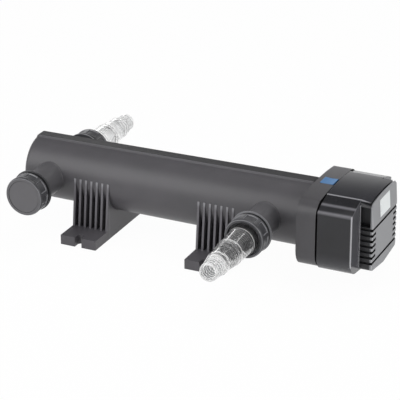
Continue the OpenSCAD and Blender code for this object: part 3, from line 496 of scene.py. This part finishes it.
def stub(name, x0, side, reach):
    """A port stub: a fillet on the tube, a plain neck, then a round thread up to the mouth.

    The fillet is a quarter circle of rings that shrink as they leave the tube's surface,
    y = sqrt(R^2 - z^2). The thread's radius is the mean plus a cosine of
    (turn angle - TAU * height / pitch), faded in and out at its ends.
    """
    neck_radius, thread_length, fillet, pitch = 22.0, 22.0, 1.8, 2.309
    angle = np.arange(144) * TAU / 144
    around = np.ones(144)
    quarter = np.linspace(0.0, 1.0, 9)[:, None] * math.pi / 2
    ring = neck_radius + fillet * (1.0 - np.sin(quarter))
    across, up = ring * np.cos(angle), ring * np.sin(angle)
    base = np.sqrt(tube_radius(x0 + across) ** 2 - up ** 2) - 0.15 + fillet * (1.0 - np.cos(quarter))
    neck_top = reach - thread_length
    neck = base[-1:] + (neck_top - base[-1:]) * np.linspace(0.15, 1.0, 10)[:, None]
    turn = np.linspace(neck_top + 0.3, reach - 0.4, 96)[:, None]
    fade = window(turn, neck_top + 2.0, reach - 2.0, 2.5)
    thread = 21.55 - 0.1 * fade + 0.42 * fade * np.cos(angle - TAU * turn / pitch)
    thread = np.where(turn < neck_top + 1.2, neck_radius - 0.45 * ramp((turn - neck_top) / 1.2), thread)
    mouth = np.array([(21.4, reach - 0.15), (21.0, reach), (18.0, reach), (17.6, reach - 0.4), (17.5, 38.0)])
    mouth_radius, mouth_height = np.hsplit(mouth, 2)
    r = np.concatenate([ring * around, neck_radius * np.ones(neck.shape), thread, mouth_radius * around])
    h = np.concatenate([base, neck, turn * around, mouth_height * around])
    points = at_port(x0, side, 0.0, r * np.cos(angle), r * np.sin(angle), h)
    # The first rows of the fillet, where the stub meets the tube, take painted shade.
    root_shade = np.arange(len(r))[:, None] < 3
    surface(name, points, [lit_stub_abs, rail_and_root_shade_abs], "base", kinds=root_shade)


tube_skin()
stub("capped_stub", LEFT_PORT, -1, 112.5)
stub("inlet_stub", LEFT_PORT, 1, 103.5 - REAR_SETBACK)
stub("outlet_stub", RIGHT_PORT, -1, 103.5)


# ---------------------------------------------------------------- nuts, cap and hose tails

def gripped(name, x0, side, setback, body, node, closed=False):
    """A union nut or the blind cap: a thin flange, a groove in painted shade, eight recessed grip panels and
    a nose.

    The profile is a closed loop of (radius, distance) swept round the port's axis. On the grip
    the radius is lowered by the panel depth times two windows, one along the axis and one round it.
    """
    back, front, grip_radius = 92.0, 119.0, 28.3
    grip_back, recess, lip_back = back + 7.2, front - 4.5, front - 7.9
    panels, panel_depth, half_panel, first_panel = 8, 1.7, 8.1, 0.18
    # Places of the materials in the piece's list: painted highlights on the panel edges, flange and nose,
    # painted shade in the groove, the recess and a ring on the cap's disc, and painted light on the cap's
    # disc.
    plain, edge, groove, disc, recessed = range(5)
    outside = [(29.3, back), (29.7, back + 0.4), (29.7, back + 1.5), (27.2, back + 1.9), (27.2, back + 6.0),
               (28.1, back + 6.4), (grip_radius, back + 7.0), (grip_radius, front - 2.2), (27.0, front)]
    if closed:
        inside = [(23.4, front), (22.9, front - 0.5), (0.0, front - 0.5), (0.0, 114.7), (22.35, 114.7),
                  (22.35, back)]
        inner_rounding = [0.2, 0.2, 0, 0, 0.3, 0.3]
    else:
        inside = [(23.9, front), (23.5, recess), (20.15, recess), (20.15, lip_back), (22.35, lip_back),
                  (22.35, back)]
        inner_rounding = [0.4] * 6
    loop = rounded(outside + inside, [0.3] * 6 + [0.2, 1.0, 0.7] + inner_rounding)
    grip = np.stack([np.full(44, grip_radius), np.linspace(grip_back, front - 3.0, 44)], 1)
    cut = int(np.argmin(np.abs(loop - (grip_radius, grip_back)).sum(1))) + 1
    loop = np.concatenate([loop[:cut], grip, loop[cut:]])
    r, h = np.hsplit(apart(loop, 1e-4), 2)
    angle = np.arange(576)[None, :] * TAU / 576
    off_middle = np.abs((angle / (TAU / panels)) % 1.0 - 0.5) * grip_radius * TAU / panels
    sunk = (1.0 - ramp(off_middle - half_panel + 0.5)) * window(h, back + 8.2, front - 4.4, 0.9) * (r > 27.5)
    flange = (r > 29.0) & (not closed)
    nose = (h > front - 1.3) & (h < front - 0.1) & (r > 26.8)
    kind = np.where(((sunk > 0.12) & (sunk < 0.88)) | flange | nose, edge, plain)
    kind = np.where((h > back + 1.7) & (h < back + 6.2) & (r > 26.8), groove, kind)
    if closed:
        kind = np.where((h > front - 0.6) & (r < 26.6), disc, kind)
        kind = np.where((h > front - 0.48) & (h < front - 0.02) & (r < 23.6), groove, kind)
    else:
        kind = np.where((h > recess - 0.1) & (r < 23.95), recessed, kind)
    radius = r - panel_depth * sunk
    points = at_port(x0, side, setback, radius * np.cos(angle + first_panel),
                     radius * np.sin(angle + first_panel), np.broadcast_to(h, radius.shape))
    piece = surface(name, points, [nut_nylon, highlight_nylon, shaded_groove_nylon, lit_disc_nylon, shaded_recess_nylon], body,
                    ring_wall=True, kinds=kind)
    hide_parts(node)


def hose_tail(name, x0, side, setback, body, node):
    """A clear stepped hose tail with a real wall.

    The outer profile has a low bead at the start of each step, which takes a hazy painted highlight,
    and then tapers towards the tip. The inner profile follows it with fine round ridges, where the
    radius is the mean plus a cosine of the distance over the ridge pitch, and which are deeper inside
    the tip. Their crests take painted shade.
    """
    first, second, third, tip = 127.4, 163.0, 199.0, 230.2
    # Places of the materials in the piece's list: hazy rims as painted highlights, and ridge crests in
    # painted shade.
    plain, hazy, lined = range(3)
    outside = [(21.7, 105.7), (21.7, 110.9), (19.3, 110.9), (19.3, first),
               (20.3, first + 1.0), (20.3, first + 2.8), (19.8, first + 3.4), (18.5, second),
               (19.1, second + 1.0), (19.1, second + 2.8), (18.6, second + 3.4),
               (18.0, 176.0), (16.6, 185.0), (15.9, third),
               (16.4, third + 1.0), (16.4, third + 2.8), (15.6, third + 3.4),
               (14.7, 211.0), (13.4, 219.0), (12.9, tip - 1.4), (12.3, tip)]
    bead = [0.35, 0.35, 0.3]
    outer = rounded(outside, [0.3, 0.3, 0.5, 0.3] + bead + [0.3] + bead + [2.0, 2.0, 0.3] + bead
                    + [2.0, 2.0, 0.6, 0.4], closed=False)
    height = outer[:, 1]
    rim = height > tip - 0.7
    for step in (first, second, third):
        rim |= (height > step + 0.6) & (height < step + 1.7)
    profile = [outer, [(10.3, tip), (9.7, tip - 1.0)]]
    kinds = [np.where(rim, hazy, plain), [plain, plain]]
    for mean, depth, pitch, high, low, crest, between in (
            (9.9, 0.7, 4.9, tip - 1.2, tip - 25.8, 0.6, hazy),
            (12.6, 0.1, 2.8, tip - 27.0, tip - 32.0, 0.9, plain),
            (14.9, 0.12, 4.2, 196.0, 164.0, 0.9, plain),
            (17.0, 0.12, 4.2, 156.0, 121.0, 0.9, plain)):
        h = np.linspace(high, low, int((high - low) / pitch * 12))
        ridge = window(h, low + 1.0, high - 1.0, 1.6) * np.cos(TAU * (h - high) / pitch)
        profile.append(np.stack([mean + depth * ridge, h], 1))
        kinds.append(np.where(ridge > crest, lined, between))
    profile.append([(17.0, 119.8), (17.0, 105.7)])
    kinds.append([plain, plain])
    across, up, out = turned(np.concatenate(profile), 144)
    piece = surface(name, at_port(x0, side, setback, across, up, out), [clear_pc, hazy_highlight_pc, shaded_crest_pc], body,
                    ring_wall=True, kinds=np.concatenate(kinds)[:, None])
    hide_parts(node)


gripped("blind_cap_shell", LEFT_PORT, -1, 0.0, "cap", "blind_cap", closed=True)
gripped("inlet_union_nut", LEFT_PORT, 1, REAR_SETBACK, "inlet_union", "inlet_nut")
gripped("outlet_union_nut", RIGHT_PORT, -1, 0.0, "outlet_union", "outlet_nut")
hose_tail("clear_inlet_tail", LEFT_PORT, 1, REAR_SETBACK, "inlet_tail", "inlet_hose_tail")
hose_tail("clear_outlet_tail", RIGHT_PORT, -1, 0.0, "outlet_tail", "outlet_hose_tail")


# ---------------------------------------------------------------- pieces from CAD solids

# The end plate's lines and the grooves that run on from them: middle of the top one, pitch and count.
LINE_TOP, LINE_PITCH, LINES = 11.6, 8.05, 7


def second_faces(node, centre, normal):
    """Which faces of a node take its second material, by the place of their centres and their normals:
    painted light on the rib fronts, painted shade everywhere else.

    Centres are in millimetres on the tube's axes, as arrays of x, y and z.
    """
    x, y, z = centre.T
    facing = normal[:, 0]
    # The fronts of the ribs, in painted light.
    if node in ("left_foot", "right_foot"):
        return (np.abs(normal[:, 1]) > 0.9) & (z > -62.0) & (np.abs(y) > 40.0) & (np.abs(y) < 56.0)
    # Both sides of the gap between collar and head, and the one between cover and end plate.
    if node == "head_collar":
        return (x > 457.0) & (facing > 0.9)
    if node == "head_shell":
        return (x < 462.5) & (facing < -0.9)
    if node == "top_cover":
        return ((x < 462.5) & (facing < -0.9)) | ((x > 522.0) & (facing > 0.9))
    # The sides of the block between its fins, and its top under the cover.
    if node == "vent_block":
        beside = (np.abs(y) > 30.0) & (np.abs(y) < 46.95) & (z < 43.0) & (z > -45.0)
        return beside | ((np.abs(normal[:, 2]) > 0.7) & (z > 45.0))
    # The plate's lines and grooves, and its back.
    if node == "end_plate":
        groove = np.abs((z - LINE_TOP + LINE_PITCH / 2) % LINE_PITCH - LINE_PITCH / 2) < 2.0
        cut = groove & (z < 15.0) & (z > -40.0) & ((x < 528.2) | (np.abs(y) > 43.9))
        return (cut & (np.abs(y) < 47.6)) | ((facing < -0.9) & (x < 525.3))
    return np.zeros(len(centre), bool)


# The second material where it isn't the painted shade of a gap: painted light on the rib fronts, painted
# shade in the vent block's recesses and on its top.
second_material = {"left_foot": lit_rib_abs, "right_foot": lit_rib_abs, "vent_block": recess_abs}


def widened_lines(data):
    """Widen the lines on the end plate's face and the grooves beside them to 3.8 mm.

    Their upper and lower edges, which lie within 1.8 mm of a line's middle, move to 1.9 mm
    from it. The middle of line i is the top one's, less i times the pitch.
    """
    co = np.empty(len(data.vertices) * 3, np.float32)
    data.vertices.foreach_get("co", co)
    points = co.reshape(-1, 3) / MM - TUBE_ORIGIN
    line = np.clip(np.round((LINE_TOP - points[:, 2]) / LINE_PITCH), 0, LINES - 1)
    off = points[:, 2] - (LINE_TOP - LINE_PITCH * line)
    points[:, 2] += np.where(np.abs(off) < 1.8, np.sign(off) * 1.9 - off, 0.0)
    data.vertices.foreach_set("co", ((points + TUBE_ORIGIN) * MM).astype(np.float32).ravel())


def softened(node, width_mm):
    """A merged copy of a CAD node whose sharp edges get a small moulded radius.

    Flat faces are first joined into whole polygons, then every edge that turns by more than
    32 degrees is bevelled, and the shading follows each face's area, so that flat faces stay flat.
    """
    source = frame["nodes"][node]
    data = source.data.copy()
    merged(data, 1e-6, math.radians(1.0))
    if node == "end_plate":
        widened_lines(data)
    count = len(data.polygons)
    centre, normal = np.empty(count * 3, np.float32), np.empty(count * 3, np.float32)
    data.polygons.foreach_get("center", centre)
    data.polygons.foreach_get("normal", normal)
    second = second_faces(node, centre.reshape(-1, 3) / MM - TUBE_ORIGIN, normal.reshape(-1, 3))
    data.materials.append(second_material.get(node, shade_abs))
    data.polygons.foreach_set("material_index", second.astype(np.int32))
    data.polygons.foreach_set("use_smooth", np.full(count, node != "end_plate"))
    piece = placed("soft_" + node, data)
    bevel = piece.modifiers.new("moulded radius", "BEVEL")
    bevel.width = width_mm * MM
    bevel.segments = 2
    bevel.limit_method = "ANGLE"
    bevel.angle_limit = math.radians(32)
    normals = piece.modifiers.new("flat face normals", "WEIGHTED_NORMAL")
    normals.keep_sharp = True
    normals.weight = 80
    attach(piece, source["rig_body"])
    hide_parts(node)


for node, width in (("left_foot", 0.7), ("right_foot", 0.7), ("head_collar", 1.0),
                    ("release_button", 0.5), ("head_shell", 1.2), ("top_cover", 1.1),
                    ("vent_block", 0.5), ("end_plate", 0.2), ("gland_nut", 0.5)):
    softened(node, width)


def flexing_spring():
    """The leaf spring under the release button: a merged copy with its own mesh."""
    data = frame["nodes"]["button_spring"].data.copy()
    merged(data, 1e-6)
    piece = placed("flexing_spring", data)
    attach(piece, "base")
    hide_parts("button_spring")
    co = np.empty(len(data.vertices) * 3, np.float32)
    data.vertices.foreach_get("co", co)
    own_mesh(piece)


flexing_spring()


# ---------------------------------------------------------------- floor and light

def plain_floor():
    """A pale floor that is white to the camera and keeps part of the object's shadow."""
    half = 6.0
    data = bpy.data.meshes.new("floor")
    data.from_pydata([(-half, -half, 0), (half, -half, 0), (half, half, 0), (-half, half, 0)],
                     [], [(0, 1, 2, 3)])
    floor = placed("floor", data)
    floor.location.z = -0.0004
    m = bpy.data.materials.new("pale paper floor")
    tree = emptied(m)
    paper = add(tree, "ShaderNodeBsdfDiffuse")
    paper.inputs["Color"].default_value = linear("#f4f4f4")
    white = add(tree, "ShaderNodeEmission", Strength=1.0)
    path = add(tree, "ShaderNodeLightPath")
    seen = add(tree, "ShaderNodeMath", [(0, path, "Is Camera Ray"), (1, path, "Is Glossy Ray")],
               operation="MAXIMUM")
    seen = add(tree, "ShaderNodeMath", [(0, seen, 0), (1, path, "Is Transmission Ray")],
               operation="MAXIMUM")
    part = add(tree, "ShaderNodeMath", [(0, seen, 0)], operation="MULTIPLY")
    part.inputs[1].default_value = 0.97
    mix = add(tree, "ShaderNodeMixShader", [("Fac", part, 0), (1, paper, "BSDF"),
                                            (2, white, "Emission")])
    add(tree, "ShaderNodeOutputMaterial", [("Surface", mix, "Shader")])
    data.materials.append(m)


def studio_world():
    """White behind the object, a plain grey fill on it, and a pale horizon with a darker ceiling
    in its reflections."""
    world = bpy.data.worlds.new("studio")
    bpy.context.scene.world = world
    tree = emptied(world)
    fill = add(tree, "ShaderNodeBackground", Strength=0.36)
    white = add(tree, "ShaderNodeBackground", Strength=1.0)
    path = add(tree, "ShaderNodeLightPath")
    where = add(tree, "ShaderNodeTexCoord")
    height = add(tree, "ShaderNodeSeparateXYZ", [("Vector", where, "Generated")])
    ceiling = add(tree, "ShaderNodeMapRange", [("Value", height, "Z")], interpolation_type="SMOOTHSTEP",
                  From_Min=0.15, From_Max=0.62, To_Min=1.0, To_Max=0.14)
    horizon = add(tree, "ShaderNodeBackground", [("Strength", ceiling, "Result")])
    for background in (fill, white, horizon):
        background.inputs["Color"].default_value = linear("#ffffff")
    reflected = add(tree, "ShaderNodeMixShader", [("Fac", path, "Is Glossy Ray"), (1, fill, "Background"),
                                                  (2, horizon, "Background")])
    seen = add(tree, "ShaderNodeMath", [(0, path, "Is Camera Ray"), (1, path, "Is Transmission Ray")],
               operation="MAXIMUM")
    mix = add(tree, "ShaderNodeMixShader", [("Fac", seen, 0), (1, reflected, "Shader"),
                                            (2, white, "Background")])
    add(tree, "ShaderNodeOutputWorld", [("Surface", mix, "Shader")])


def softbox(name, place, target, size, power):
    """One rectangular soft light that faces a point."""
    data = bpy.data.lights.new(name, "AREA")
    data.shape = "RECTANGLE"
    data.size, data.size_y = size
    data.energy = power
    lamp = placed(name, data)
    lamp.location = place
    aim = (Vector(target) - Vector(place)).normalized()
    lamp.rotation_mode = "QUATERNION"
    lamp.rotation_quaternion = aim.to_track_quat("-Z", "Y")


plain_floor()
studio_world()
softbox("key softbox", (-1.1, -1.4, 1.25), (0.0, 0.0, 0.05), (1.5, 1.5), 23.0)
softbox("top softbox", (0.3, 0.3, 1.9), (0.0, 0.0, 0.05), (1.2, 0.8), 9.0)
softbox("back left strip", (-0.96, 1.44, 0.45), (0.1, -0.15, 0.08), (0.2, 0.5), 0.7)
softbox("back right strip", (0.46, 1.44, 1.17), (0.1, -0.15, 0.08), (0.16, 0.4), 0.8)
softbox("right softbox", (1.9, -0.3, 0.9), (0.1, 0.0, 0.05), (0.9, 0.9), 8.0)

bpy.context.scene.view_settings.view_transform = "Standard"
